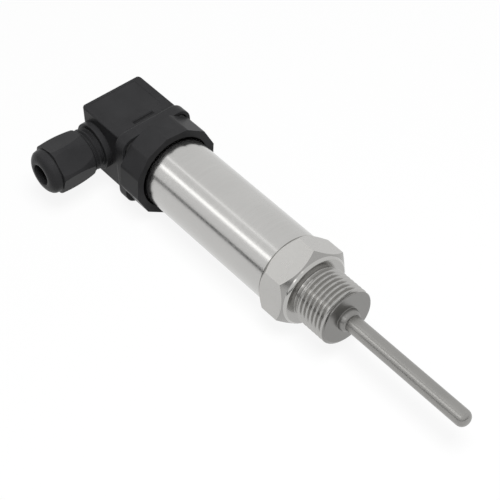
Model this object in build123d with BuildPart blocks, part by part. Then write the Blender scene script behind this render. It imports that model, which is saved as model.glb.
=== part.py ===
from build123d import *
import os
from math import cos, pi, radians, sqrt, tan

os.makedirs("parts", exist_ok=True)

# Frame: millimetres, origin at the centre of the seating face behind the pipe thread.
# +X runs to the probe tip, the cable gland points to -Y, the plug's large face looks to +Z.
# Sizes along the sensor are distances from the seating face, towards the tip or the plug.

# Clearances
seat_gap = 0.05  # round seats that are pressed or clamped
part_gap = 0.3  # pieces that come apart
turn_gap = 0.05  # threads and shanks that turn
touch_gap = 0.1  # loose internal seats

# Probe
probe_d = 6.0
probe_wall = 0.5
insertion_length = 70.0
tip_round = 2.5
tip_wall = 1.2
sheath_tail = 3.0

# Pipe thread end
thread_d = 20.955
thread_length = 15.25
thread_chamfer = 0.5
thread_pitch = 1.814
thread_depth = 1.162
thread_flank_angle = 27.5
thread_cut_clear = 0.2
relief_d = 18.6
relief_length = 1.3
weld_recess_d = 8.6
weld_recess_depth = 0.6
weld_bead = 0.5

# Hexagon and collar
hex_flats = 27.0
hex_length = 12.8
hex_roll = 23.2
hex_chamfer_angle = 39.0
seat_d = 24.8
collar_d = 26.2
collar_length = 1.1
collar_bevel = 0.6
rear_bore_d = 17.0
rear_bore_floor = 7.0
tube_spigot_length = 5.0

# Body tube
body_d = 26.8
body_wall = 1.5
body_length = 63.5
seam_chamfer = 0.25

# Plug base
flange_flats = 33.1
flange_sides = 12
flange_roll = 10.0
flange_length = 9.95
flange_edge = 0.3
flange_gap = 0.5
tube_engagement = 2.45
base_spigot_length = 6.0
base_floor = 8.0
tail_room = 0.5
o_ring_d = 1.5

# Pins
pin_spacing = 18.0
pin_width = 6.3
pin_thickness = 0.8
pin_length = 11.5
pin_root = 3.0
pin_step = 1.0
pin_point = 0.25
tail_width = 2.4
tail_inset = 1.5
tail_length = 3.0

# Threaded insert and fixing screw
insert_d = 5.2
insert_length = 7.0
screw_d = 3.0
screw_hole_gap = 0.25
screw_engagement = 6.3
screw_head_d = 5.5
screw_head_height = 2.6
driver_slot_width = 0.8
driver_slot_depth = 1.2
screw_seal_thickness = 0.8
screw_recess_depth = 1.2
screw_recess_wall = 0.3
screw_post_wall = 1.25

# Plug housing
contact_gap = 0.2
contact_wall = 0.5
block_wall = 0.5
box_wall = 1.8
box_lift = 0.5  # the box and its gland sit above the sensor axis
box_edge = 0.6
box_corner = 1.5
plug_height = 26.8
roof = 2.0
skirt_step = 2.15
skirt_round = 5.0
skirt_wall = 1.4
skirt_length = 3.8
skirt_shoulder = 1.2
gasket_thickness = 2.0
label_inset_end = 1.5
label_inset_side = 3.1
label_length = 15.5
label_depth = 0.15
pry_slot_width = 9.0
pry_slot_length = 2.2
pry_slot_depth = 1.1
pry_slot_from_skirt = 1.5

# Terminal block and contacts
block_edge = 0.5
entry_floor = 1.0
contact_reach = 0.5
cage_width = 6.0
cage_depth = 4.1
cage_height = 4.0
clamp_screw_d = 2.0
clamp_screw_length = 2.4
clamp_head_d = 3.4
clamp_head_height = 1.0
wire_hole_d = 2.2

# Cable gland
gland_from_end = 7.9
neck_shoulder_d = 17.8
neck_shoulder_length = 2.3
neck_thread_d = 16.0
neck_thread_length = 14.0
neck_wall = 1.8
neck_bore_d = 10.0
neck_floor = 8.0
neck_end_chamfer = 0.6
cable_hole_d = 7.7
gland_seal_length = 6.8
gland_seal_bore_d = 7.4
thrust_ring_thickness = 1.5
nut_standoff = 6.6
nut_length = 17.7
nut_flats = 17.0
nut_roll = 42.0
nut_back_d = 17.5
nut_back_chamfer = 0.35
nut_crown_d = 18.8
nut_crown_from_back = 10.3
nut_front_d = 18.4
nut_shoulder = 13.5
nut_groove_d = 16.0
nut_groove_length = 0.5
nut_nose_d = 16.6
nut_nose_front_d = 16.0
nut_nose_round = 3.7
nut_nose_round_length = 1.9
nut_nose_end_d = 9.6
nut_thread_depth = 11.6
nut_cone_length = 3.4
nut_cone_d = 12.6

# Electronics
board_thickness = 1.2
board_width = 18.0
board_length = 42.0
board_start = 24.0
carrier_wall = 1.0
rail_depth = 1.2
rail_height = 3.0
lead_d = 0.5
lead_bore_d = 0.7
lead_overlap = 4.0
element_length = 9.0
element_gap = 0.3
insulator_tail = 1.5
wire_d = 1.0
wire_bend = 1.2
wire_spacing = 3.0
wire_start = 6.0
wire_past_board = 1.2
wire_end_run = 1.9

# Places along the sensor, worked out from the sizes above
probe_r = probe_d / 2
sheath_inner_r = probe_r - probe_wall
thread_r = thread_d / 2
body_r = body_d / 2
tube_inner_r = body_r - body_wall
tube_end = hex_length + body_length
flange_front = tube_end - tube_engagement
base_face = flange_front + flange_length
socket_floor = tube_end + o_ring_d
pocket_floor = base_face - base_floor
pin_r = pin_spacing / 2
tail_r = pin_r - tail_inset
pocket_r = tail_r + pin_thickness / 2 + tail_room
tail_tip = pocket_floor - tail_length
spigot_end = tube_end - base_spigot_length
spigot_r = tube_inner_r - seat_gap

slot_thickness = pin_thickness + 2 * contact_gap
slot_width = pin_width + 2 * contact_gap
contact_thickness = slot_thickness + 2 * contact_wall
contact_width = slot_width + 2 * contact_wall
block_side = pin_spacing + contact_thickness + 2 * block_wall
block_face = base_face + part_gap
block_top = base_face + pin_length + contact_reach
cavity_side = block_side + 2 * contact_gap
box_side = cavity_side + 2 * box_wall
skirt_side = box_side + 2 * skirt_step
rim = base_face + part_gap
plug_end = rim + plug_height
skirt_cavity_side = skirt_side - 2 * skirt_wall
skirt_cavity_floor = base_face + gasket_thickness + part_gap
roof_inside = plug_end - roof
screw_hole_r = screw_d / 2 + screw_hole_gap
screw_post_r = screw_hole_r + screw_post_wall
recess_floor = plug_end - screw_recess_depth
head_under = recess_floor + screw_seal_thickness
screw_tip = base_face - screw_engagement

gland_x = -(plug_end - gland_from_end)
gland_face = box_side / 2
neck_end = gland_face + neck_shoulder_length + neck_thread_length
seal_seat_r = neck_thread_d / 2 - neck_wall
seal_seat_floor = gland_face + neck_floor
nut_back = gland_face + nut_standoff
nut_inner_shoulder = nut_back + nut_thread_depth
gland_section = Plane.XY.offset(box_lift)
gland_axis = Axis((gland_x, 0, box_lift), (0, -1, 0))

board_end = board_start + board_length
board_face = board_thickness / 2
lead_offset = board_face + lead_d / 2 + seat_gap
wire_height = board_face + wire_d / 2


def across(distance):
    """Plane square to the sensor at a distance from the seating face, towards the plug."""
    return Plane.YZ.offset(-distance)


def gland_plane(distance):
    """Plane square to the gland, its x axis up and its normal out of the gland."""
    return Plane(origin=(gland_x, -distance, box_lift), x_dir=(0, 0, 1), z_dir=(0, -1, 0))


def turn(*points, mode=Mode.ADD):
    """Turn a closed outline of (x, radius) points about the sensor axis."""
    with BuildSketch(Plane.XY) as outline:
        with BuildLine():
            Polyline(*points, close=True)
        make_face()
    revolve(outline.sketch, axis=Axis.X, mode=mode)


def turn_gland(*points, mode=Mode.ADD):
    """Turn a closed outline of (distance, radius) points about the gland axis."""
    with BuildSketch(gland_section) as outline:
        with BuildLine():
            Polyline(*[(gland_x + r, -d) for d, r in points], close=True)
        make_face()
    revolve(outline.sketch, axis=gland_axis, mode=mode)


# Process connection: hexagon, collar and thread turned from one bar
hex_corner_r = hex_flats / sqrt(3)
collar_r = collar_d / 2
seam_r = body_r - seam_chamfer
hex_cut_r = hex_corner_r + 1.0
front_chamfer = (hex_cut_r - collar_r) * tan(radians(hex_chamfer_angle))
flank_slope = tan(radians(thread_flank_angle))
groove_floor = thread_pitch / 2 - thread_depth * flank_slope
groove_mouth = groove_floor + 2 * (thread_depth + thread_cut_clear) * flank_slope
with BuildPart() as process_connection:
    turn(
        (0, 0),
        (0, relief_d / 2),
        (relief_length, relief_d / 2),
        (relief_length + thread_r - relief_d / 2, thread_r),
        (thread_length - thread_chamfer, thread_r),
        (thread_length, thread_r - thread_chamfer),
        (thread_length, 0),
    )
    with BuildLine():
        groove_path = Helix(thread_pitch, thread_length + thread_pitch, thread_r, direction=(1, 0, 0))
    groove_plane = Plane(groove_path @ 0, x_dir=(groove_path @ 0), z_dir=(groove_path % 0))
    with BuildSketch(groove_plane) as groove_form:
        with BuildLine():
            Polyline(
                (thread_cut_clear, -groove_mouth / 2),
                (-thread_depth, -groove_floor / 2),
                (-thread_depth, groove_floor / 2),
                (thread_cut_clear, groove_mouth / 2),
                close=True,
            )
        make_face()
    sweep(groove_form.sketch, path=groove_path, is_frenet=True, mode=Mode.SUBTRACT)
    with BuildSketch(across(hex_length)):
        RegularPolygon(hex_flats / 2, 6, major_radius=False, rotation=hex_roll)
    extrude(amount=hex_length - collar_length)
    turn(
        (-hex_length, 0),
        (-hex_length, seam_r),
        (-hex_length + hex_cut_r - seam_r, hex_cut_r),
        (-collar_length - front_chamfer, hex_cut_r),
        (-collar_length, collar_r),
        (thread_length + thread_cut_clear, collar_r),
        (thread_length + thread_cut_clear, 0),
        mode=Mode.INTERSECT,
    )
    turn(
        (-collar_length, 0),
        (-collar_length, collar_r),
        (-collar_bevel, collar_r),
        (0, seat_d / 2),
        (0, 0),
    )
    turn(
        (-hex_length, 0),
        (-hex_length, spigot_r),
        (-hex_length - tube_spigot_length, spigot_r),
        (-hex_length - tube_spigot_length, 0),
    )
    turn(
        (-hex_length - tube_spigot_length, 0),
        (-hex_length - tube_spigot_length, rear_bore_d / 2),
        (-rear_bore_floor, rear_bore_d / 2),
        (-rear_bore_floor, 0),
        mode=Mode.SUBTRACT,
    )
    recess_x = thread_length - weld_recess_depth
    bead_r = probe_r + seat_gap + weld_bead
    turn(
        (recess_x, 0),
        (recess_x, weld_recess_d / 2),
        (thread_length, weld_recess_d / 2),
        (thread_length, 0),
        mode=Mode.SUBTRACT,
    )
    turn(
        (recess_x, probe_r + seat_gap),
        (recess_x, bead_r),
        (recess_x + weld_bead, probe_r + seat_gap),
    )
    turn(
        (-rear_bore_floor, 0),
        (-rear_bore_floor, probe_r + seat_gap),
        (thread_length, probe_r + seat_gap),
        (thread_length, 0),
        mode=Mode.SUBTRACT,
    )
process_connection.part.label = "process_connection"
export_step(process_connection.part, "parts/process_connection.step")

# Body tube
with BuildPart() as body_tube:
    turn(
        (-hex_length, tube_inner_r),
        (-hex_length, seam_r),
        (-hex_length - seam_chamfer, body_r),
        (-tube_end, body_r),
        (-tube_end, tube_inner_r),
    )
body_tube.part.label = "body_tube"
export_step(body_tube.part, "parts/body_tube.step")

# Probe sheath: thin tube with a closed round tip
sheath_back = -rear_bore_floor - sheath_tail
with BuildPart() as probe_sheath:
    with BuildSketch(Plane.XY) as sheath_outline:
        with BuildLine():
            tip_start = (insertion_length - tip_round, probe_r)
            Polyline((insertion_length, 0), (sheath_back, 0), (sheath_back, probe_r), tip_start)
            TangentArc(tip_start, (insertion_length, probe_r - tip_round), tangent=(1, 0))
            Line((insertion_length, probe_r - tip_round), (insertion_length, 0))
        make_face()
    revolve(axis=Axis.X)
    turn(
        (sheath_back, 0),
        (sheath_back, sheath_inner_r),
        (insertion_length - tip_round, sheath_inner_r),
        (insertion_length - tip_wall, sheath_inner_r - tip_round + tip_wall),
        (insertion_length - tip_wall, 0),
        mode=Mode.SUBTRACT,
    )
probe_sheath.part.label = "probe_sheath"
export_step(probe_sheath.part, "parts/probe_sheath.step")

# Sensing element in the tip
element_tip = insertion_length - tip_round - element_gap
element_back = element_tip - element_length
with BuildPart() as sensing_element:
    with BuildSketch(Plane.YZ.offset(element_back)):
        Circle(sheath_inner_r - element_gap)
    extrude(amount=element_length)
    chamfer(sensing_element.edges().filter_by(GeomType.CIRCLE), element_gap)
sensing_element.part.label = "sensing_element"
export_step(sensing_element.part, "parts/sensing_element.step")

# Ceramic rod with a bore for each lead
insulator_back = sheath_back - insulator_tail
insulator_front = element_back - element_gap
with BuildPart() as lead_insulator:
    with BuildSketch(Plane.YZ.offset(insulator_back)):
        Circle(sheath_inner_r - touch_gap)
        with GridLocations(2 * lead_offset, 2 * lead_offset, 2, 2):
            Circle(lead_bore_d / 2, mode=Mode.SUBTRACT)
    extrude(amount=insulator_front - insulator_back)
lead_insulator.part.label = "lead_insulator"
export_step(lead_insulator.part, "parts/lead_insulator.step")

# Leads from the element to both faces of the board
lead_end = board_start + lead_overlap
with BuildPart() as element_leads:
    with BuildSketch(across(lead_end)):
        with GridLocations(2 * lead_offset, 2 * lead_offset, 2, 2):
            Circle(lead_d / 2)
    extrude(amount=element_back + lead_end)
element_leads.part.label = "element_leads"
export_step(element_leads.part, "parts/element_leads.step")

# Transmitter board, lying level on the sensor axis
with BuildPart() as circuit_board:
    with BuildSketch(across(board_end)):
        Rectangle(board_width, board_thickness)
    extrude(amount=board_length)
circuit_board.part.label = "circuit_board"
export_step(circuit_board.part, "parts/circuit_board.step")

# Parts soldered on the upper face of the board
chip_side = 7.0
chip_height = 1.0
driver_length = 5.0
driver_width = 4.0
driver_height = 1.5
can_d = 4.0
can_height = 5.0
resistor_length = 1.6
resistor_width = 0.8
resistor_height = 0.5
resistor_count = 5
part_pitch = 9.0
middle_x = -(board_start + board_length / 2)
with BuildPart() as board_components:
    with BuildSketch(Plane.XY.offset(board_face)):
        with Locations((middle_x + part_pitch / 2, 0)):
            Rectangle(chip_side, chip_side)
    extrude(amount=chip_height)
    with BuildSketch(Plane.XY.offset(board_face)):
        with Locations((middle_x - part_pitch / 2, board_width / 4)):
            Rectangle(driver_length, driver_width)
    extrude(amount=driver_height)
    with BuildSketch(Plane.XY.offset(board_face)):
        with Locations((middle_x - part_pitch / 2, -board_width / 4)):
            Circle(can_d / 2)
    extrude(amount=can_height)
    with BuildSketch(Plane.XY.offset(board_face)):
        with Locations((middle_x + 1.5 * part_pitch, board_width / 3)):
            with GridLocations(2 * resistor_width, 0, resistor_count, 1):
                Rectangle(resistor_width, resistor_length)
    extrude(amount=resistor_height)
board_components.part.label = "board_components"
export_step(board_components.part, "parts/board_components.step")

# Insulating sleeve with a slotted rail for each long edge of the board
carrier_r = tube_inner_r - touch_gap
carrier_inner_r = carrier_r - carrier_wall
board_slot = board_thickness + 2 * seat_gap
rail_inside = board_width / 2 - rail_depth
rail_outside = carrier_r - carrier_wall / 2
rail_middle = (rail_inside + rail_outside) / 2
with BuildPart() as board_carrier:
    with BuildSketch(across(board_end)):
        Circle(carrier_r)
        Circle(carrier_inner_r, mode=Mode.SUBTRACT)
        with Locations((rail_middle, 0), (-rail_middle, 0)):
            Rectangle(rail_outside - rail_inside, rail_height)
        Rectangle(board_width + 2 * seat_gap, board_slot, mode=Mode.SUBTRACT)
    extrude(amount=board_length)
board_carrier.part.label = "board_carrier"
export_step(board_carrier.part, "parts/board_carrier.step")

# Blades of the plug base: blade, offset step inside the moulding, and solder tail
blade_back = base_face - pin_root
step_back = blade_back - pin_step


def blades(count, start, sweep):
    """Build blades at even angles about the sensor axis."""
    with BuildSketch(across(base_face + pin_length)) as blade:
        with PolarLocations(pin_r, count, start, sweep, endpoint=True):
            Rectangle(pin_thickness, pin_width)
    extrude(blade.sketch, amount=pin_length + pin_root)
    with BuildSketch(across(blade_back)) as step:
        with PolarLocations(pin_r - tail_inset / 2, count, start, sweep, endpoint=True):
            Rectangle(pin_thickness + tail_inset, pin_width)
    extrude(step.sketch, amount=pin_step)
    with BuildSketch(across(step_back)) as tail:
        with PolarLocations(tail_r, count, start, sweep, endpoint=True):
            Rectangle(pin_thickness, tail_width)
    extrude(tail.sketch, amount=step_back - tail_tip)


with BuildPart() as signal_pins:
    blades(3, 0, 180)
    chamfer(signal_pins.edges().group_by(Axis.X)[0], pin_point)
signal_pins.part.label = "signal_pins"
export_step(signal_pins.part, "parts/signal_pins.step")

with BuildPart() as earth_pin:
    blades(1, 270, 90)
    chamfer(earth_pin.edges().group_by(Axis.X)[0], pin_point)
earth_pin.part.label = "earth_pin"
export_step(earth_pin.part, "parts/earth_pin.step")

# Plug base: faceted flange, socket round the tube's end, spigot inside the tube
flange_bore_r = body_r + flange_gap
with BuildPart() as connector_base:
    with BuildSketch(across(base_face)):
        RegularPolygon(flange_flats / 2, flange_sides, major_radius=False, rotation=flange_roll)
    extrude(amount=flange_length)
    chamfer(connector_base.edges().group_by(Axis.X)[-1], flange_edge)
    turn(
        (-socket_floor, spigot_r),
        (-socket_floor, flange_bore_r),
        (-flange_front - flange_edge, flange_bore_r),
        (-flange_front, flange_bore_r + flange_edge),
        (-flange_front, spigot_r),
        mode=Mode.SUBTRACT,
    )
    turn(
        (-flange_front, 0),
        (-flange_front, spigot_r),
        (-spigot_end, spigot_r),
        (-spigot_end, 0),
    )
    turn(
        (-pocket_floor, 0),
        (-pocket_floor, pocket_r),
        (-spigot_end, pocket_r),
        (-spigot_end, 0),
        mode=Mode.SUBTRACT,
    )
    turn(
        (-base_face, 0),
        (-base_face, insert_d / 2),
        (-base_face + insert_length, insert_d / 2),
        (-base_face + insert_length, 0),
        mode=Mode.SUBTRACT,
    )
    add(signal_pins.part, mode=Mode.SUBTRACT)
    add(earth_pin.part, mode=Mode.SUBTRACT)
connector_base.part.label = "connector_base"
export_step(connector_base.part, "parts/connector_base.step")

# Ring that seals the tube's end in the socket
with BuildPart() as base_o_ring:
    with BuildSketch(Plane.XY):
        with Locations((-tube_end - o_ring_d / 2, body_r - body_wall / 2)):
            Circle(o_ring_d / 2)
    revolve(axis=Axis.X)
base_o_ring.part.label = "base_o_ring"
export_step(base_o_ring.part, "parts/base_o_ring.step")

# Brass insert for the fixing screw
with BuildPart() as threaded_insert:
    with BuildSketch(across(base_face)):
        Circle(insert_d / 2)
        Circle(screw_d / 2 + turn_gap, mode=Mode.SUBTRACT)
    extrude(amount=insert_length)
threaded_insert.part.label = "threaded_insert"
export_step(threaded_insert.part, "parts/threaded_insert.step")

# Wires from the board to the pin tails
wire_x = -(board_end - wire_start)
turn_x = -(board_end + wire_past_board)
bend_x = -(tail_tip - wire_end_run)
wire_ends = [(-tail_r, 0), (0, tail_r), (0, -tail_r), (tail_r, 0)]
with BuildPart() as pin_wires:
    for number, (end_y, end_z) in enumerate(wire_ends):
        start_y = (number - 1.5) * wire_spacing
        with BuildLine() as wire_path:
            FilletPolyline(
                (wire_x, start_y, wire_height),
                (turn_x, start_y, wire_height),
                (bend_x, end_y, end_z),
                (-tail_tip, end_y, end_z),
                radius=wire_bend,
            )
        with BuildSketch(Plane((wire_x, start_y, wire_height), z_dir=(-1, 0, 0))):
            Circle(wire_d / 2)
        sweep(path=wire_path.line)
pin_wires.part.label = "pin_wires"
export_step(pin_wires.part, "parts/pin_wires.step")

# Square gasket on the face of the base
gasket_side = skirt_cavity_side - 2 * part_gap
with BuildPart() as plug_gasket:
    with BuildSketch(across(base_face + gasket_thickness)):
        RectangleRounded(gasket_side, gasket_side, skirt_round - skirt_wall)
        Rectangle(block_side + 2 * part_gap, block_side + 2 * part_gap, mode=Mode.SUBTRACT)
    extrude(amount=gasket_thickness)
plug_gasket.part.label = "plug_gasket"
export_step(plug_gasket.part, "parts/plug_gasket.step")

# Plug housing: square skirt, box and threaded neck in one moulding
box_top = box_side / 2 + box_lift
skirt_back = rim + skirt_length + skirt_shoulder
with BuildPart() as plug_housing:
    with BuildSketch(across(plug_end)):
        with Locations((0, box_lift)):
            Rectangle(box_side, box_side)
    extrude(amount=plug_height)
    fillet(plug_housing.edges().filter_by(Axis.X), box_edge)
    gland_corner = plug_housing.edges().group_by(Axis.X)[0].filter_by(Axis.Z).sort_by(Axis.Y)[0]
    fillet(gland_corner, box_corner)
    with BuildSketch(across(rim)):
        RectangleRounded(skirt_side, skirt_side, skirt_round)
    extrude(amount=-skirt_length)
    with BuildSketch(across(rim + skirt_length)):
        RectangleRounded(skirt_side, skirt_side, skirt_round)
    extrude(amount=-skirt_shoulder, taper=45)
    with BuildSketch(across(skirt_cavity_floor)):
        RectangleRounded(skirt_cavity_side, skirt_cavity_side, skirt_round - skirt_wall)
    extrude(amount=skirt_cavity_floor - rim, mode=Mode.SUBTRACT)
    with BuildSketch(across(roof_inside)):
        Rectangle(cavity_side, cavity_side)
    extrude(amount=roof_inside - rim, mode=Mode.SUBTRACT)
    with BuildSketch(across(roof_inside)):
        Circle(screw_post_r)
    extrude(amount=roof_inside - block_top - touch_gap)
    with BuildSketch(gland_plane(gland_face - box_wall)):
        Circle(neck_shoulder_d / 2)
    extrude(amount=box_wall + neck_shoulder_length)
    turn_gland(
        (gland_face + neck_shoulder_length, 0),
        (gland_face + neck_shoulder_length, neck_thread_d / 2),
        (neck_end - neck_end_chamfer, neck_thread_d / 2),
        (neck_end, neck_thread_d / 2 - neck_end_chamfer),
        (neck_end, 0),
    )
    turn_gland(
        (cavity_side / 2 - box_wall, 0),
        (cavity_side / 2 - box_wall, neck_bore_d / 2),
        (seal_seat_floor, neck_bore_d / 2),
        (seal_seat_floor, seal_seat_r),
        (neck_end, seal_seat_r),
        (neck_end, 0),
        mode=Mode.SUBTRACT,
    )
    with BuildSketch(across(plug_end)):
        Circle(screw_hole_r)
    extrude(amount=plug_height, mode=Mode.SUBTRACT)
    with BuildSketch(across(plug_end)):
        Circle(screw_head_d / 2 + screw_recess_wall)
    extrude(amount=screw_recess_depth, mode=Mode.SUBTRACT)
    with BuildSketch(Plane.XY.offset(box_top - label_depth)):
        with Locations((-plug_end + label_inset_end + label_length / 2, 0)):
            Rectangle(label_length, box_side - 2 * label_inset_side)
    extrude(amount=2 * label_depth, mode=Mode.SUBTRACT)
    with BuildSketch(Plane.XZ):
        with BuildLine():
            slot_front = -skirt_back - pry_slot_from_skirt
            Polyline(
                (slot_front, box_top),
                (slot_front - pry_slot_length, box_top - pry_slot_depth),
                (slot_front - pry_slot_length, box_top),
                close=True,
            )
        make_face()
    extrude(amount=pry_slot_width / 2, both=True, mode=Mode.SUBTRACT)
plug_housing.part.label = "plug_housing"
export_step(plug_housing.part, "parts/plug_housing.step")

# Terminal block with a slot for each contact
entry_top = block_face + entry_floor
with BuildPart() as terminal_block:
    with BuildSketch(across(block_top)):
        RectangleRounded(block_side, block_side, block_edge)
        Circle(screw_hole_r, mode=Mode.SUBTRACT)
    extrude(amount=block_top - block_face)
    with BuildSketch(across(block_top)):
        with PolarLocations(pin_r, 4):
            Rectangle(contact_thickness, contact_width)
    extrude(amount=block_top - entry_top, mode=Mode.SUBTRACT)
    with BuildSketch(across(block_top)):
        with PolarLocations(pin_r, 4):
            Rectangle(slot_thickness, slot_width)
    extrude(amount=block_top - block_face, mode=Mode.SUBTRACT)
terminal_block.part.label = "terminal_block"
export_step(terminal_block.part, "parts/terminal_block.step")

# Female contacts: a flat sleeve for the blade and a cage for the wire
cage_r = pin_r + contact_thickness / 2 - cage_depth / 2
cage_top = block_top + cage_height
with BuildPart() as socket_contacts:
    with BuildSketch(across(block_top)):
        with PolarLocations(pin_r, 4):
            Rectangle(contact_thickness, contact_width)
    extrude(amount=block_top - entry_top)
    with BuildSketch(across(block_top)):
        with PolarLocations(pin_r, 4):
            Rectangle(slot_thickness, slot_width)
    extrude(amount=block_top - entry_top, mode=Mode.SUBTRACT)
    with BuildSketch(across(cage_top)):
        with PolarLocations(cage_r, 4):
            Rectangle(cage_depth, cage_width)
    extrude(amount=cage_height)
    with BuildSketch(across(cage_top)):
        with PolarLocations(cage_r, 4):
            Circle(clamp_screw_d / 2)
    extrude(amount=clamp_screw_length, mode=Mode.SUBTRACT)
    for hole_plane in (Plane.XY, Plane.XZ):
        with BuildSketch(hole_plane):
            with Locations(
                (-block_top - cage_height / 3, cage_r),
                (-block_top - cage_height / 3, -cage_r),
            ):
                Circle(wire_hole_d / 2)
        extrude(amount=cage_width, both=True, mode=Mode.SUBTRACT)
socket_contacts.part.label = "socket_contacts"
export_step(socket_contacts.part, "parts/socket_contacts.step")

# Screws that clamp the wires in the cages
with BuildPart() as clamp_screws:
    with BuildSketch(across(cage_top)):
        with PolarLocations(cage_r, 4):
            Circle(clamp_screw_d / 2)
    extrude(amount=clamp_screw_length)
    with BuildSketch(across(cage_top + clamp_head_height)):
        with PolarLocations(cage_r, 4):
            Circle(clamp_head_d / 2)
    extrude(amount=clamp_head_height)
clamp_screws.part.label = "clamp_screws"
export_step(clamp_screws.part, "parts/clamp_screws.step")

# Seal under the head of the fixing screw
with BuildPart() as screw_seal:
    with BuildSketch(across(head_under)):
        Circle(screw_head_d / 2)
        Circle(screw_d / 2 + turn_gap, mode=Mode.SUBTRACT)
    extrude(amount=screw_seal_thickness)
screw_seal.part.label = "screw_seal"
export_step(screw_seal.part, "parts/screw_seal.step")

# Fixing screw with a slotted cheese head
head_top = head_under + screw_head_height
with BuildPart() as fixing_screw:
    with BuildSketch(across(head_under)):
        Circle(screw_d / 2)
    extrude(amount=head_under - screw_tip)
    with BuildSketch(across(head_top)):
        Circle(screw_head_d / 2)
    extrude(amount=screw_head_height)
    with BuildSketch(across(head_top)):
        Rectangle(driver_slot_width, 2 * screw_head_d)
    extrude(amount=driver_slot_depth, mode=Mode.SUBTRACT)
fixing_screw.part.label = "fixing_screw"
export_step(fixing_screw.part, "parts/fixing_screw.step")

# Rubber bush that grips the cable
with BuildPart() as gland_seal:
    with BuildSketch(gland_plane(seal_seat_floor)):
        Circle(seal_seat_r - seat_gap)
        Circle(gland_seal_bore_d / 2, mode=Mode.SUBTRACT)
    extrude(amount=gland_seal_length)
gland_seal.part.label = "gland_seal"
export_step(gland_seal.part, "parts/gland_seal.step")

# Ring that the nut pushes against the bush
ring_face = nut_inner_shoulder - touch_gap
with BuildPart() as thrust_ring:
    with BuildSketch(gland_plane(ring_face - thrust_ring_thickness)):
        Circle(seal_seat_r - part_gap)
        Circle(cable_hole_d / 2, mode=Mode.SUBTRACT)
    extrude(amount=thrust_ring_thickness)
thrust_ring.part.label = "thrust_ring"
export_step(thrust_ring.part, "parts/thrust_ring.step")

# Domed gland nut: a crowned turning with six flats, a stepped round nose and a cable hole
nut_tip = nut_back + nut_length
shoulder_at = nut_back + nut_shoulder
groove_end = shoulder_at + nut_groove_length
with BuildPart() as gland_nut:
    with BuildSketch(gland_plane(nut_back)):
        RegularPolygon(nut_flats / 2, 6, major_radius=False, rotation=nut_roll)
    extrude(amount=nut_shoulder)
    with BuildSketch(gland_section) as crown_outline:
        with BuildLine():
            crown_back = (gland_x + nut_back_d / 2, -nut_back - nut_back_chamfer)
            crown_top = (gland_x + nut_crown_d / 2, -nut_back - nut_crown_from_back)
            crown_front = (gland_x + nut_front_d / 2, -shoulder_at)
            Polyline(
                crown_front,
                (gland_x, -shoulder_at),
                (gland_x, -nut_back),
                (gland_x + nut_back_d / 2 - nut_back_chamfer, -nut_back),
                crown_back,
            )
            ThreePointArc(crown_back, crown_top, crown_front)
        make_face()
    revolve(crown_outline.sketch, axis=gland_axis, mode=Mode.INTERSECT)
    with BuildSketch(gland_section) as nose_outline:
        with BuildLine():
            nose_start = (gland_x + nut_nose_front_d / 2, -nut_tip + nut_nose_round_length)
            nose_end = (gland_x + nut_nose_end_d / 2, -nut_tip)
            Polyline(
                nose_end,
                (gland_x, -nut_tip),
                (gland_x, -shoulder_at),
                (gland_x + nut_groove_d / 2, -shoulder_at),
                (gland_x + nut_groove_d / 2, -groove_end),
                (gland_x + nut_nose_d / 2, -groove_end),
                nose_start,
            )
            RadiusArc(nose_start, nose_end, nut_nose_round)
        make_face()
    revolve(nose_outline.sketch, axis=gland_axis)
    turn_gland(
        (nut_back, 0),
        (nut_back, neck_thread_d / 2 + turn_gap),
        (nut_inner_shoulder, neck_thread_d / 2 + turn_gap),
        (nut_inner_shoulder, nut_cone_d / 2),
        (nut_inner_shoulder + nut_cone_length, cable_hole_d / 2),
        (nut_tip, cable_hole_d / 2),
        (nut_tip, 0),
        mode=Mode.SUBTRACT,
    )
gland_nut.part.label = "gland_nut"
export_step(gland_nut.part, "parts/gland_nut.step")
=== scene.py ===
import logging
import math
from dataclasses import dataclass
from enum import Enum
from typing import Any, Callable, Iterable, Optional, Sequence, Union

import bmesh
import bpy
from mathutils import Matrix, Vector


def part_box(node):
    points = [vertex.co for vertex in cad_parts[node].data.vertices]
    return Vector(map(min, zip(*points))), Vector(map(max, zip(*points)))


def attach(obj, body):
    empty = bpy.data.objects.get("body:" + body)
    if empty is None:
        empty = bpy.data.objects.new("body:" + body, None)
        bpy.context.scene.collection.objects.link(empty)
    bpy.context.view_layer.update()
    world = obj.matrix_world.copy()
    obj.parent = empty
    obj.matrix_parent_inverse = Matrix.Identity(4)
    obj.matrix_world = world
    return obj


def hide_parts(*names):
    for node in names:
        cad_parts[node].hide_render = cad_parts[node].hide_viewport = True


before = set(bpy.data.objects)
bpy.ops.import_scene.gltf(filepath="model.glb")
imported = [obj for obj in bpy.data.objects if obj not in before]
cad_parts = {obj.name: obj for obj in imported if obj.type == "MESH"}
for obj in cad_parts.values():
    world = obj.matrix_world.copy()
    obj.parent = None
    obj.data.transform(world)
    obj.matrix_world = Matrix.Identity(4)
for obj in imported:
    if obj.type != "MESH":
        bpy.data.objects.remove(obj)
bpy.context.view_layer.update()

LOG = logging.getLogger("temperature_sensor")
METRES = 0.001
CORNER_POINTS = 9
WHITE = (1.0, 1.0, 1.0, 1.0)
Point = tuple[float, float]
Place = tuple[float, float, float]
Colour = tuple[float, float, float]
Number = Union["Value", float]


class Body(Enum):
    """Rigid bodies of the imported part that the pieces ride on."""

    SENSOR = "sensor_body"
    PLUG = "plug"
    SCREW = "screw_body"
    NUT = "nut_body"


# Shader nodes


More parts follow.
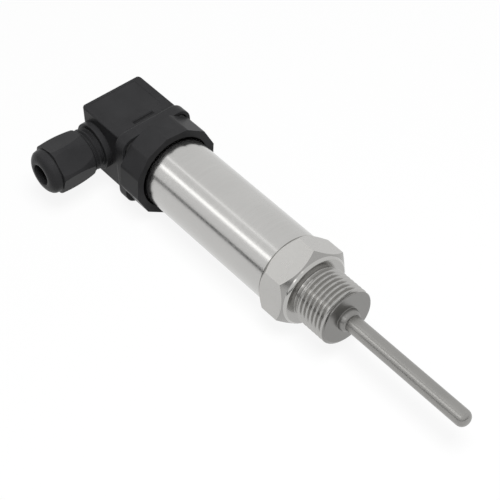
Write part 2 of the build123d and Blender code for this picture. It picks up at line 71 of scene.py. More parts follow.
class Value:
    """A number that a shader node gives, with arithmetic that adds Math nodes."""

    def __init__(self, graph: "Graph", socket: bpy.types.NodeSocket) -> None:
        """Wrap a socket.

        Args:
            graph: node graph that the socket belongs to.
            socket: output socket of a node.
        """
        self.graph = graph
        self.socket = socket

    def _with(self, operation: str, *values: Number) -> "Value":
        """Return the outcome of a Math node on these values."""
        inputs = dict(enumerate(values))
        return self.graph.add("ShaderNodeMath", {"operation": operation}, inputs)

    def __add__(self, other: Number) -> "Value":
        """Return the sum."""
        return self._with("ADD", self, other)

    def __sub__(self, other: Number) -> "Value":
        """Return the difference."""
        return self._with("SUBTRACT", self, other)

    def __rsub__(self, other: float) -> "Value":
        """Return a number minus this value."""
        return self._with("SUBTRACT", other, self)

    def __mul__(self, other: Number) -> "Value":
        """Return the product."""
        return self._with("MULTIPLY", self, other)

    def __gt__(self, other: Number) -> "Value":
        """Return 1 where this value is the greater one, else 0."""
        return self._with("GREATER_THAN", self, other)

    def __pow__(self, other: float) -> "Value":
        """Return this value raised to a power."""
        return self._with("POWER", self, other)

    __radd__ = __add__

    def at_least(self, other: Number) -> "Value":
        """Return the larger one of the two."""
        return self._with("MAXIMUM", self, other)

    def at_most(self, other: Number) -> "Value":
        """Return the smaller one of the two."""
        return self._with("MINIMUM", self, other)

    def wave(self) -> "Value":
        """Return the sine."""
        return self._with("SINE", self)


class Graph:
    """The node graph of one material or of the world."""

    def __init__(self, owner: Union[str, bpy.types.World]) -> None:
        """Start an empty graph.

        Args:
            owner: the world, or the name of a new material.
        """
        self.owner = bpy.data.materials.new(owner) if isinstance(owner, str) else owner
        self.owner.use_nodes = True
        self.tree = self.owner.node_tree
        self.tree.nodes.clear()

    def add(
        self,
        kind: str,
        settings: Optional[dict[str, Any]] = None,
        inputs: Optional[dict[Union[int, str], Any]] = None,
        output: Union[int, str] = 0,
    ) -> Value:
        """Add any node.

        Args:
            kind: type of the node.
            settings: its settings.
            inputs: values or links of its sockets.
            output: the socket that is returned.

        Returns:
            The chosen output of the new node.
        """
        node = self.tree.nodes.new(kind)
        for name, setting in (settings or {}).items():
            setattr(node, name, setting)
        for key, value in (inputs or {}).items():
            if isinstance(value, Value):
                self.tree.links.new(value.socket, node.inputs[key])
            else:
                node.inputs[key].default_value = value
        chosen = node.outputs[output] if len(node.outputs) else None
        return Value(self, chosen)

    def place(self) -> Value:
        """Return the place on the piece in metres."""
        return self.add("ShaderNodeTexCoord", output="Object")

    def parts(self, vector: Value) -> tuple[Value, Value, Value]:
        """Return the three numbers of a vector."""
        split = self.add("ShaderNodeSeparateXYZ", inputs={0: vector})
        sockets = split.socket.node.outputs
        return Value(self, sockets[0]), Value(self, sockets[1]), Value(self, sockets[2])

    def vector(self, x: Number, y: Number, z: Number) -> Value:
        """Return a vector of three numbers."""
        return self.add("ShaderNodeCombineXYZ", inputs={0: x, 1: y, 2: z})

    def noise(
        self, vector: Value, scale: float, detail: float = 3.0, rough: float = 0.5
    ) -> Value:
        """Return noise from 0 to 1.

        Args:
            vector: place that is read.
            scale: how many grains there are on a metre.
            detail: octaves.
            rough: share of the finer octaves.

        Returns:
            The noise.
        """
        inputs = {"Vector": vector, "Scale": scale, "Detail": detail, "Roughness": rough}
        return self.add("ShaderNodeTexNoise", inputs=inputs)

    def blend(self, share: Value, low: Union[Value, Colour], high: Colour) -> Value:
        """Mix two colours by a share from 0 to 1."""
        first = low if isinstance(low, Value) else (*low, 1.0)
        settings = {"data_type": "RGBA", "clamp_factor": True}
        return self.add("ShaderNodeMix", settings, {0: share, 6: first, 7: (*high, 1.0)}, 2)

    def bump(self, height: Value, depth: float) -> Value:
        """Return the normal of a surface with a height from 0 to 1 and a depth in metres."""
        inputs = {"Strength": 1.0, "Distance": depth, "Height": height}
        return self.add("ShaderNodeBump", inputs=inputs)

    def seen(self) -> Value:
        """Return 1 for rays that come from the camera, a mirror or glass."""
        ray = self.add("ShaderNodeLightPath", output="Is Camera Ray")
        outputs = ray.socket.node.outputs
        glossy = Value(self, outputs["Is Glossy Ray"])
        through = Value(self, outputs["Is Transmission Ray"])
        return ray.at_least(glossy).at_least(through)

    def finish(self, **inputs: Any) -> bpy.types.Material:
        """Close the graph with a Principled shader.

        Args:
            inputs: the shader's sockets, with an underscore for a space.

        Returns:
            The finished material.
        """
        named = {key.replace("_", " "): value for key, value in inputs.items()}
        shader = self.add("ShaderNodeBsdfPrincipled", inputs=named)
        self.add("ShaderNodeOutputMaterial", inputs={0: shader})
        return self.owner


@dataclass(frozen=True)
class TurnedSteel:
    """Stainless steel with the fine rings that a lathe leaves about the sensor axis, and zones of
    painted reflection along it.

    Attributes:
        name: the material's name.
        dark: colour of its darkest spots.
        light: colour of its lightest spots.
        roughness: its middle roughness.
        rings_per_metre: how many rings there are on a metre.
        ring_depth: their depth in metres.
        clouds_per_metre: how many cloudy patches there are on a metre.
        ring_gloss: how far the rings change the roughness.
        cloud_gloss: how far the patches change the roughness.
        painted_reflection_zones: start, painted reflection colour and real roughness of each zone,
            which reaches to the probe's end.
        zone_share: how much of a zone's colour and roughness shows in it.
        zone_edge: how steeply a zone sets in, per metre.
        rim: radius in metres beyond which a zone's start falls back along a cone.
        rim_slope: slope of that cone.
    """

    name: str
    dark: Colour = (0.40, 0.395, 0.383)
    light: Colour = (0.55, 0.543, 0.526)
    roughness: float = 0.3
    rings_per_metre: float = 9000.0
    ring_depth: float = 0.0000022
    clouds_per_metre: float = 90.0
    ring_gloss: float = 0.14
    cloud_gloss: float = 0.1
    painted_reflection_zones: tuple[tuple[float, Colour, float], ...] = ()
    zone_share: float = 0.8
    zone_edge: float = 20000.0
    rim: float = 0.0131
    rim_slope: float = 0.81

    def material(self) -> bpy.types.Material:
        """Return the procedural material."""
        graph = Graph(self.name)
        place = graph.place()
        x, y, z = graph.parts(place)
        radius = (y * y + z * z) ** 0.5
        around = graph.vector(x, radius, (y + z) * 0.012)
        rings = graph.noise(around, self.rings_per_metre, 2.0, 0.6)
        coarse = graph.noise(around, self.rings_per_metre / 9.0, 2.0, 0.5)
        cloud = graph.noise(place, self.clouds_per_metre, 3.0, 0.55)
        tone = rings * 0.35 + coarse * 0.25 + cloud * 0.4
        colour = graph.blend(tone, self.dark, self.light)
        uneven = (coarse - 0.5) * self.ring_gloss + (cloud - 0.5) * self.cloud_gloss
        rough = uneven + self.roughness
        # Zone colours are painted reflection, blended over the steel's own colour; only the zone
        # roughness is real.
        along = x + (radius - self.rim).at_least(0.0) * self.rim_slope
        for start, shade, roughness in self.painted_reflection_zones:
            share = ((along - start) * self.zone_edge).at_least(0.0).at_most(self.zone_share)
            colour = graph.blend(share, colour, shade)
            rough = rough + share * (roughness - rough)
        normal = graph.bump(rings * 0.7 + coarse * 0.3, self.ring_depth)
        return graph.finish(Base_Color=colour, Metallic=1.0, Roughness=rough, Normal=normal)


@dataclass(frozen=True)
class DrawnSteel:
    """Stainless steel tube with fine lines along the sensor axis."""

    name: str
    dark: Colour = (0.24, 0.236, 0.227)
    light: Colour = (0.37, 0.365, 0.351)
    roughness: float = 0.3
    lines_per_metre: float = 4000.0
    line_depth: float = 0.0000003
    line_stretch: float = 0.005
    patches_per_metre: float = 260.0

    def material(self) -> bpy.types.Material:
        """Return the procedural material."""
        graph = Graph(self.name)
        x, y, z = graph.parts(graph.place())
        drawn = graph.vector(x * self.line_stretch, y, z)
        lines = graph.noise(drawn, self.lines_per_metre, 2.0, 0.6)
        patches = graph.noise(graph.vector(x * 0.5, y, z), self.patches_per_metre, 3.0, 0.6)
        colour = graph.blend(lines * 0.45 + patches * 0.55, self.dark, self.light)
        rough = self.roughness + (lines - 0.5) * 0.16 + (patches - 0.5) * 0.12
        normal = graph.bump(lines, self.line_depth)
        return graph.finish(Base_Color=colour, Metallic=1.0, Roughness=rough, Normal=normal)


@dataclass(frozen=True)
class MouldedPlastic:
    """Glass-filled plastic with the fine eroded texture of its mould."""

    name: str
    dark: Colour = (0.010, 0.010, 0.0105)
    light: Colour = (0.025, 0.025, 0.026)
    roughness: float = 0.34
    grains_per_metre: float = 5200.0
    grain_depth: float = 0.000008
    flow_per_metre: float = 140.0
    specks_per_metre: float = 2600.0
    speck_level: float = 0.66
    specular: float = 0.08

    def material(self) -> bpy.types.Material:
        """Return the procedural material."""
        graph = Graph(self.name)
        place = graph.place()
        grain = graph.noise(place, self.grains_per_metre, 3.0, 0.55)
        flow = graph.noise(place, self.flow_per_metre)
        dust = graph.noise(place, self.specks_per_metre, 1.0)
        specks = (dust - self.speck_level).at_least(0.0) * 2.0
        colour = graph.blend(flow * 0.55 + grain * 0.3 + specks, self.dark, self.light)
        rough = self.roughness + (grain - 0.5) * 0.16 + (flow - 0.5) * 0.1
        normal = graph.bump(grain * 0.85 + flow * 0.15, self.grain_depth)
        return graph.finish(
            Base_Color=colour, Roughness=rough, Normal=normal, Specular_IOR_Level=self.specular
        )


@dataclass(frozen=True)
class PlainFinish:
    """A finish of one substance with its own grain, tone and gloss."""

    name: str
    dark: Colour
    light: Colour
    roughness: float
    metallic: float = 0.0
    grains_per_metre: float = 1800.0
    grain_depth: float = 0.000004

    def material(self) -> bpy.types.Material:
        """Return the procedural material."""
        graph = Graph(self.name)
        place = graph.place()
        grain = graph.noise(place, self.grains_per_metre, 3.0, 0.6)
        patches = graph.noise(place, self.grains_per_metre / 14.0, 2.0, 0.5)
        colour = graph.blend(grain * 0.5 + patches * 0.5, self.dark, self.light)
        rough = self.roughness + (grain - 0.5) * 0.15 + (patches - 0.5) * 0.1
        normal = graph.bump(grain, self.grain_depth)
        return graph.finish(
            Base_Color=colour, Metallic=self.metallic, Roughness=rough, Normal=normal
        )


@dataclass(frozen=True)
class BoardFinish:
    """Green solder mask over copper tracks."""

    name: str
    mask: Colour = (0.012, 0.09, 0.035)
    track: Colour = (0.03, 0.19, 0.07)
    track_pitch: float = 0.0016
    track_height: float = 0.00002
    track_level: float = 0.45
    bends_per_metre: float = 160.0
    bend_reach: float = 0.004

    def material(self) -> bpy.types.Material:
        """Return the procedural material."""
        graph = Graph(self.name)
        x, y, z = graph.parts(graph.place())
        bend = graph.noise(graph.vector(x, y * 0.2, z), self.bends_per_metre, 1.0)
        wave = ((y + bend * self.bend_reach) * (2.0 * math.pi / self.track_pitch)).wave()
        track = wave > self.track_level
        colour = graph.blend(track, self.mask, self.track)
        normal = graph.bump(track, self.track_height)
        return graph.finish(Base_Color=colour, Roughness=0.28 + bend * 0.1, Normal=normal)


# Meshes, modelled in millimetres and written in metres


@dataclass(frozen=True)
class Axis:
    """An axis that round pieces are turned about.

    Attributes:
        origin: a point on it, in millimetres.
        along: its direction.
        out: the direction of angle 0.
        side: the direction of angle 90 degrees.
    """

    origin: Place
    along: Place
    out: Place
    side: Place

    def point(self, distance: float, radius: float, angle: float = 0.0) -> Vector:
        """Return the point at a distance along the axis, a radius and an angle in degrees."""
        turn = math.radians(angle)
        away = Vector(self.out) * math.cos(turn) + Vector(self.side) * math.sin(turn)
        return Vector(self.origin) + Vector(self.along) * distance + away * radius

    def distance(self, point: Vector) -> float:
        """Return how far along the axis a point is."""
        return (point - Vector(self.origin)).dot(Vector(self.along))


SENSOR_AXIS = Axis((0.0, 0.0, 0.0), (1.0, 0.0, 0.0), (0.0, 1.0, 0.0), (0.0, 0.0, 1.0))
GLAND_AXIS = Axis((-103.0, 0.0, 0.5), (0.0, -1.0, 0.0), (0.0, 0.0, 1.0), (-1.0, 0.0, 0.0))


class Workpiece:
    """A mesh in the making, shaped with mesh operators."""

    def __init__(self) -> None:
        """Start an empty mesh."""
        self.mesh = bmesh.new()

    def chain(self, points: Iterable[Vector], closed: bool) -> list[Any]:
        """Add a chain of edges.

        Args:
            points: its corners, in millimetres.
            closed: whether the last corner joins the first.

        Returns:
            The new vertices and edges.
        """
        corners = [self.mesh.verts.new(point) for point in points]
        pairs = list(zip(corners, corners[1:]))
        if closed:
            pairs.append((corners[-1], corners[0]))
        return corners + [self.mesh.edges.new(pair) for pair in pairs]

    def turn(
        self, axis: Axis, profile: Sequence[Point], segments: int = 160, closed: bool = True
    ) -> list[Any]:
        """Turn a profile of (distance, radius) corners once round an axis.

        Args:
            axis: the axis.
            profile: corners of the profile.
            segments: facets in a full turn.
            closed: whether the profile is a closed outline.

        Returns:
            The vertices, edges and faces that this added.
        """
        before = set(self.mesh.verts)
        geometry = self.chain([axis.point(d, r) for d, r in profile], closed)
        bmesh.ops.spin(
            self.mesh, geom=geometry, cent=axis.origin, axis=axis.along, dvec=(0.0, 0.0, 0.0),
            angle=2.0 * math.pi, steps=segments, use_merge=True, use_duplicate=False,
        )
        added = [vertex for vertex in self.mesh.verts if vertex not in before]
        bmesh.ops.remove_doubles(self.mesh, verts=added, dist=0.0005)
        return self.joined_to([vertex for vertex in self.mesh.verts if vertex not in before])

    @staticmethod
    def joined_to(vertices: Sequence[bmesh.types.BMVert]) -> list[Any]:
        """Return vertices with the edges and faces that lie wholly on them."""
        known = set(vertices)
        edges = {edge for vertex in known for edge in vertex.link_edges}
        faces = {face for vertex in known for face in vertex.link_faces}
        return [
            *known,
            *[edge for edge in edges if set(edge.verts) <= known],
            *[face for face in faces if set(face.verts) <= known],
        ]

    def cut(
        self, point: Vector, normal: Vector, geometry: Optional[list[Any]] = None
    ) -> list[Any]:
        """Cut away what lies beyond a plane.

        Args:
            point: a point on the plane.
            normal: the side that goes.
            geometry: what is cut, or None for the whole mesh.

        Returns:
            The open edges along the cut.
        """
        everything = self.mesh.verts[:] + self.mesh.edges[:] + self.mesh.faces[:]
        made = bmesh.ops.bisect_plane(
            self.mesh, geom=geometry or everything, dist=0.0001,
            plane_co=point, plane_no=normal, clear_outer=True,
        )
        return [item for item in made["geom_cut"] if isinstance(item, bmesh.types.BMEdge)]

    def block(self, middle: Sequence[float], size: Sequence[float]) -> list[bmesh.types.BMVert]:
        """Add a block.

        Args:
            middle: its middle, in millimetres.
            size: its size along X, Y and Z.

        Returns:
            Its corners.
        """
        shape = Matrix.Translation(middle) @ Matrix.Diagonal((*size, 1.0))
        return bmesh.ops.create_cube(self.mesh, size=1.0, matrix=shape)["verts"]

    def mill_flats(
        self, axis: Axis, across: float, sides: int, first: float, rounding: float,
        rims: bool = False,
    ) -> None:
        """Mill even flats round an axis and round their edges.

        Args:
            axis: the axis.
            across: size across the flats.
            sides: how many flats there are.
            first: angle of the first flat's middle, in degrees.
            rounding: width of the rounded edges.
            rims: whether all edges of the flats are rounded, or only those between them.
        """
        faces: list[bmesh.types.BMFace] = []
        for number in range(sides):
            foot = axis.point(0.0, across / 2.0, first + 360.0 * number / sides)
            normal = foot - Vector(axis.origin)
            edges = self.cut(foot, normal.normalized())
            faces += bmesh.ops.edgeloop_fill(self.mesh, edges=edges)["faces"]
        flats = {face for face in faces if face.is_valid}
        chosen = {
            edge for face in flats for edge in face.edges
            if rims or (len(edge.link_faces) == 2 and set(edge.link_faces) <= flats)
        }
        bmesh.ops.bevel(
            self.mesh, geom=list(chosen), offset=rounding, offset_type="OFFSET", segments=3,
            profile=0.5, affect="EDGES", clamp_overlap=True, material=-1,
        )

    def loft(self, rows: Sequence[Sequence[Vector]]) -> None:
        """Stretch a closed skin over rows of corners.

        Args:
            rows: closed rows with as many corners each, in millimetres.
        """
        count = len(rows[0])
        chain = self.chain(rows[0], True)
        ring, edges = chain[:count], chain[count:]
        self.close(edges)
        for row in rows[1:]:
            made = bmesh.ops.extrude_edge_only(self.mesh, edges=edges)["geom"]
            fresh = {item for item in made if isinstance(item, bmesh.types.BMVert)}
            ring = [
                next(edge.other_vert(corner) for edge in corner.link_edges
                     if edge.other_vert(corner) in fresh)
                for corner in ring
            ]
            for corner, place in zip(ring, row):
                corner.co = place
            edges = [item for item in self.joined_to(ring) if isinstance(item, bmesh.types.BMEdge)]
        self.close(edges)

    def face_between(self, edges: Sequence[Any], normal: Vector) -> None:
        """Fill the flat ring between an outer and an inner loop of edges."""
        bmesh.ops.triangle_fill(self.mesh, use_beauty=True, edges=list(edges), normal=normal)

    def close(self, edges: Sequence[Any]) -> None:
        """Close a loop with one face."""
        bmesh.ops.edgeloop_fill(self.mesh, edges=list(edges))

    def done(
        self, name: str, material: bpy.types.Material, sharp: float = 30.0
    ) -> bpy.types.Object:
        """Write the mesh as an object at the origin.

        Args:
            name: the object's name.
            material: its material.
            sharp: angle in degrees from which an edge is shaded sharp.

        Returns:
            The finished object.
        """
        bmesh.ops.remove_doubles(self.mesh, verts=self.mesh.verts[:], dist=0.0003)
        bmesh.ops.dissolve_degenerate(self.mesh, edges=self.mesh.edges[:], dist=0.0002)
        bmesh.ops.recalc_face_normals(self.mesh, faces=self.mesh.faces[:])
        for face in self.mesh.faces:
            face.smooth = True
        limit = math.radians(sharp)
        for edge in self.mesh.edges:
            edge.smooth = len(edge.link_faces) == 2 and edge.calc_face_angle() < limit
        bmesh.ops.scale(self.mesh, vec=(METRES,) * 3, verts=self.mesh.verts[:])
        data = bpy.data.meshes.new(name)
        self.mesh.to_mesh(data)
        self.mesh.free()
        data.materials.append(material)
        piece = bpy.data.objects.new(name, data)
        bpy.context.scene.collection.objects.link(piece)
        return piece


@dataclass(frozen=True)
class ThreadForm:
    """A right-hand outside thread.

    Attributes:
        axis: the screw's axis.
        start: where it starts along the axis.
        end: where it ends along the axis.
        groove: a place at angle 0 where the groove runs, behind the start.
        pitch: its pitch.
        crest: radius over the ridges.
        root: radius in the groove.
        limit: largest radius at a distance along the axis.
        steps: facets in a turn.
        ridge: shares of the pitch and of the height along one ridge.
    """

    axis: Axis
    start: float
    end: float
    groove: float
    pitch: float
    crest: float
    root: float
    limit: Callable[[float], float]
    steps: int = 128
    ridge: tuple[Point, ...] = (
        (0.0, 0.0), (0.06, 0.03), (0.10, 0.10), (0.25, 0.50), (0.40, 0.90), (0.44, 0.97),
        (0.50, 1.0), (0.56, 0.97), (0.60, 0.90), (0.75, 0.50), (0.90, 0.10), (0.94, 0.03),
        (1.0, 0.0),
    )

    def cut_into(self, work: Workpiece, bore: Sequence[Point] = ()) -> None:
        """Add the threaded stem as a closed skin.

        Args:
            work: the mesh it is added to.
            bore: profile of its bore from the start's face to the end's face, if it has one.
        """
        turns = math.ceil((self.end - self.groove) / self.pitch) + 1
        height = self.crest - self.root
        along = Vector(self.axis.along)
        before = set(work.mesh.verts)
        ridge = [
            self.axis.point(self.groove + place * self.pitch, self.root + rise * height)
            for place, rise in self.ridge
        ]
        chain = work.chain(ridge, False)
        bmesh.ops.spin(
            work.mesh, geom=chain, cent=self.axis.origin, axis=self.axis.along,
            dvec=along * (self.pitch / self.steps), angle=2.0 * math.pi, steps=self.steps,
            use_merge=False, use_duplicate=False,
        )
        one = work.joined_to([vertex for vertex in work.mesh.verts if vertex not in before])
        for number in range(1, turns):
            copy = bmesh.ops.duplicate(work.mesh, geom=one)["geom"]
            corners = [item for item in copy if isinstance(item, bmesh.types.BMVert)]
            bmesh.ops.translate(work.mesh, verts=corners, vec=along * (self.pitch * number))
        added = [vertex for vertex in work.mesh.verts if vertex not in before]
        bmesh.ops.remove_doubles(work.mesh, verts=added, dist=0.002)
        added = [vertex for vertex in work.mesh.verts if vertex not in before]
        for vertex in added:
            distance = self.axis.distance(vertex.co)
            centre = self.axis.point(distance, 0.0)
            away = vertex.co - centre
            vertex.co = centre + away.normalized() * min(away.length, self.limit(distance))
        front = work.cut(self.axis.point(self.end, 0.0), along, work.joined_to(added))
        added = [vertex for vertex in work.mesh.verts if vertex not in before]
        back = work.cut(self.axis.point(self.start, 0.0), -along, work.joined_to(added))
        front = [edge for edge in front if edge.is_valid]
        if not bore:
            work.close(front)
            work.close(back)
            return
        inside = work.turn(self.axis, bore, self.steps, closed=False)
        edges = [item for item in inside if isinstance(item, bmesh.types.BMEdge)]
        rims = [edge for edge in edges if edge.is_boundary]
        middle = (self.start + self.end) / 2.0
        near_end = [edge for edge in rims if self.axis.distance(edge.verts[0].co) > middle]
        near_start = [edge for edge in rims if edge not in near_end]
        work.face_between([*front, *near_end], along)
        work.face_between([*back, *near_start], -along)


def arc(centre: Point, radius: float, start: float, end: float, count: int) -> list[Point]:
    """Return points on an arc in a profile.

    Args:
        centre: its centre.
        radius: its radius.
        start: first angle in degrees.
        end: last angle in degrees.
        count: number of points.

    Returns:
        The points, both ends among them.
    """
    angles = [math.radians(start + (end - start) * step / (count - 1)) for step in range(count)]
    return [(centre[0] + radius * math.cos(a), centre[1] + radius * math.sin(a)) for a in angles]


def rounded(x: float, middle: Point, size: Point, radius: float) -> list[Vector]:
    """Return the corners of a rounded rectangle across the sensor.

    Args:
        x: its place along the sensor.
        middle: its middle in Y and Z.
        size: its width in Y and height in Z.
        radius: radius of its corners.

    Returns:
        The points, in millimetres.
    """
    wide, high = size[0] / 2.0 - radius, size[1] / 2.0 - radius
    places = []
    for quarter, (y, z) in enumerate(((wide, high), (-wide, high), (-wide, -high), (wide, -high))):
        centre = (middle[0] + y, middle[1] + z)
        places += arc(centre, radius, 90.0 * quarter, 90.0 * (quarter + 1), CORNER_POINTS)
    return [Vector((x, *place)) for place in places]


def bulge(start: Point, middle: Point, end: Point, count: int) -> list[Point]:
    """Return points on a shallow curve through three profile points."""
    span = end[0] - start[0]
    share = (middle[0] - start[0]) / span
    rise = (middle[1] - start[1] - (end[1] - start[1]) * share) / (share * (1.0 - share))
    steps = [step / (count - 1) for step in range(count)]
    return [
        (start[0] + span * t, start[1] + (end[1] - start[1]) * t + rise * t * (1.0 - t))
        for t in steps
    ]


def carve(piece: bpy.types.Object, cutters: Sequence[bpy.types.Object]) -> None:
    """Cut the cutters' shapes out of a piece and remove the cutters.

    Args:
        piece: the object that is cut.
        cutters: closed meshes.
    """
    for cutter in cutters:
        modifier = piece.modifiers.new("carve", "BOOLEAN")
        modifier.operation = "DIFFERENCE"
        modifier.solver = "EXACT"
        modifier.use_self = True
        modifier.object = cutter
    bpy.context.view_layer.update()
    graph = bpy.context.evaluated_depsgraph_get()
    shape = bpy.data.meshes.new_from_object(piece.evaluated_get(graph))
    piece.modifiers.clear()
    old = piece.data
    piece.data = shape
    bpy.data.meshes.remove(old)
    shape.name = piece.name
    for cutter in cutters:
        bpy.data.objects.remove(cutter)


def mount(piece: bpy.types.Object, body: Body, node: str) -> None:
    """Put a finished piece on its body and log it.

    Args:
        piece: the piece.
        body: the body it rides on.
        node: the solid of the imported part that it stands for.
    """
    shading = piece.modifiers.new("even_shading", "WEIGHTED_NORMAL")
    shading.keep_sharp = True
    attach(piece, body.value)
    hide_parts(node)
    LOG.info("%s: %d faces", piece.name, len(piece.data.polygons))


# Sub-assemblies


@dataclass
class ProcessConnection:
    """Hexagon, collar, seating face and male pipe thread, turned from one bar."""

    bar_radius: float = 16.2
    hex_flats: float = 27.0
    hex_length: float = 12.8
    first_flat: float = 53.2
    corner_round: float = 0.22
    edge_break: float = 0.12
    seam_radius: float = 13.15
    seat_radius: float = 12.4
    collar_radius: float = 13.1
    collar_length: float = 1.1
    collar_bevel: float = 0.6
    chamfer_angle: float = 39.0
    groove_radius: float = 9.3
    groove_length: float = 1.3
    overlap: float = 0.05
    thread_radius: float = 10.4775
    thread_root: float = 9.3155
    thread_pitch: float = 1.814
    thread_end: float = 15.25
    thread_chamfer: float = 0.5
    weld_radius: float = 4.3
    weld_height: float = 2.6
    bore_radius: float = 3.05
    rear_bore_radius: float = 8.5
    rear_floor: float = 7.0
    spigot_radius: float = 11.85
    spigot_length: float = 5.0
    # The zone colours are painted reflection: a darker chamfer, a painted highlight on the collar
    # ring, a darker seat and thread, and a dark end face and weld.
    steel: TurnedSteel = TurnedSteel(
        "turned_stainless", painted_reflection_zones=(
            (-0.00118, (0.31, 0.306, 0.297), 0.2), (-0.00105, (0.5, 0.495, 0.48), 0.14),
            (-0.0001, (0.41, 0.405, 0.393), 0.24), (0.0144, (0.21, 0.207, 0.2), 0.32),
        )
    )

    def profile(self) -> list[Point]:
        """Return the outline of the bar from the plug's side to the relief groove."""
        reach = self.bar_radius
        corner = math.tan(math.radians(self.chamfer_angle)) * (reach - self.collar_radius)
        back = -self.hex_length
        edge = self.edge_break
        return [
            (-self.rear_floor, self.bore_radius),
            (-self.rear_floor, self.rear_bore_radius),
            (back - self.spigot_length, self.rear_bore_radius),
            (back - self.spigot_length, self.spigot_radius),
            (back, self.spigot_radius),
            (back, self.seam_radius),
            (back + reach - self.seam_radius, reach),
            (-self.collar_length - corner, reach),
            (-self.collar_length, self.collar_radius),
            (-self.collar_bevel - edge, self.collar_radius),
            (-self.collar_bevel + edge * 0.6, self.collar_radius - edge * 0.7),
            (-edge, self.seat_radius + edge),
            (-edge * 0.3, self.seat_radius + edge * 0.2),
            (0.0, self.seat_radius - edge),
            (0.0, self.groove_radius + 0.35),
            (0.1, self.groove_radius + 0.1),
            (0.35, self.groove_radius),
            (self.groove_length + self.overlap, self.groove_radius),
            (self.groove_length + self.overlap, self.bore_radius),
        ]

    def largest(self, distance: float) -> float:
        """Return the largest radius of the thread at a distance from the seating face."""
        rise = self.groove_radius + distance - self.groove_length
        fall = self.thread_radius - (distance - self.thread_end + self.thread_chamfer)
        return max(self.groove_radius - 0.01, min(rise, fall, self.thread_radius))

    def weld(self) -> list[Point]:
        """Return the outline of the raised weld at the probe's root."""
        width = self.weld_radius - self.bore_radius
        curve = [
            (self.thread_end + self.weld_height * rise, self.bore_radius + width * reach)
            for rise, reach in arc((0.0, 0.0), 1.0, 0.0, 90.0, CORNER_POINTS)
        ]
        return [
            *curve[:-1],
            (self.thread_end + 0.1, self.weld_radius),
            (self.thread_end, self.weld_radius + 0.1),
        ]

    def build(self) -> None:
        """Build the piece and put it on the sensor."""
        work = Workpiece()
        work.turn(SENSOR_AXIS, self.profile(), 180)
        work.mill_flats(SENSOR_AXIS, self.hex_flats, 6, self.first_flat, self.corner_round)
        thread = ThreadForm(
            SENSOR_AXIS, self.groove_length, self.thread_end, -1.25 * self.thread_pitch,
            self.thread_pitch, self.thread_radius, self.thread_root, self.largest,
        )
        thread.cut_into(work, [(self.groove_length, self.bore_radius), *self.weld()])
        piece = work.done("threaded_hexagon", self.steel.material())
        mount(piece, Body.SENSOR, "process_connection")


@dataclass
class BodyTube:
    """Plain tube between the hexagon and the plug base."""

    radius: float = 13.4
    wall: float = 1.5
    front: float = -12.8
    back: float = -76.3
    chamfer: float = 0.25
    steel: TurnedSteel = TurnedSteel(
        "satin_stainless", (0.44, 0.436, 0.425), (0.56, 0.555, 0.542), roughness=0.2,
        rings_per_metre=12000.0, clouds_per_metre=70.0,
    )

    def build(self) -> None:
        """Build the piece and put it on the sensor."""
        work = Workpiece()
        inner = self.radius - self.wall
        work.turn(
            SENSOR_AXIS,
            [
                (self.front, inner),
                (self.front, self.radius - self.chamfer),
                (self.front - self.chamfer * 0.4, self.radius - self.chamfer * 0.3),
                (self.front - self.chamfer, self.radius),
                (self.back, self.radius),
                (self.back, inner),
            ],
            200,
        )
        piece = work.done("sensor_tube", self.steel.material(), 35.0)
        mount(piece, Body.SENSOR, "body_tube")


@dataclass
class ProbeStem:
    """Thin closed tube with a rounded tip."""

    radius: float = 3.0
    wall: float = 0.5
    tip: float = 70.0
    tip_round: float = 2.5
    tip_wall: float = 1.2
    tip_taper: float = 1.3
    back: float = -10.0
    steel: DrawnSteel = DrawnSteel("drawn_stainless")

    def build(self) -> None:
        """Build the piece and put it on the sensor."""
        work = Workpiece()
        centre = (self.tip - self.tip_round, self.radius - self.tip_round)
        inner = self.radius - self.wall
        tip = arc(centre, self.tip_round, 90.0, 0.0, 14)
        work.turn(
            SENSOR_AXIS,
            [
                (self.tip - self.tip_wall, 0.0),
                (self.tip - self.tip_wall, inner - self.tip_taper),
                (self.tip - self.tip_round, inner),
                (self.back, inner),
                (self.back, self.radius),
                *tip,
                (self.tip, 0.0),
            ],
            128,
            closed=False,
        )
        piece = work.done("probe_stem", self.steel.material(), 40.0)
        mount(piece, Body.SENSOR, "probe_sheath")


@dataclass
class PlugBase:
    """Moulded base with a twelve-sided flange and a socket round the tube's end."""

    flats: float = 33.1
    sides: int = 12
    first_flat: float = 25.0
    front: float = -73.85
    back: float = -83.8
    opening: float = 13.9
    socket_floor: float = -77.9
    spigot_radius: float = 11.85
    spigot_end: float = -70.3
    pocket_radius: float = 8.4
    pocket_floor: float = -75.8
    rounding: float = 0.28
    insert_radius: float = 2.6

    def build(self, plastic: bpy.types.Material) -> None:
        """Build the piece and put it on the sensor.

        Args:
            plastic: finish of the moulding.
        """
        work = Workpiece()
        reach = self.flats / 2.0 / math.cos(math.pi / self.sides) + 0.6
        work.turn(
            SENSOR_AXIS,
            [
                (self.pocket_floor, self.insert_radius),
                (self.pocket_floor, self.pocket_radius),
                (self.spigot_end, self.pocket_radius),
                (self.spigot_end, self.spigot_radius - 0.3),
                (self.spigot_end - 0.3, self.spigot_radius),
                (self.socket_floor, self.spigot_radius),
                (self.socket_floor, self.opening),
                (self.front - 0.45, self.opening),
                (self.front - 0.12, self.opening + 0.14),
                (self.front, self.opening + 0.4),
                (self.front, reach),
                (self.back, reach),
                (self.back, self.insert_radius),
            ],
            144,
        )
        work.mill_flats(
            SENSOR_AXIS, self.flats, self.sides, self.first_flat, self.rounding, rims=True
        )
        piece = work.done("plug_base", plastic, 40.0)
        mount(piece, Body.SENSOR, "connector_base")


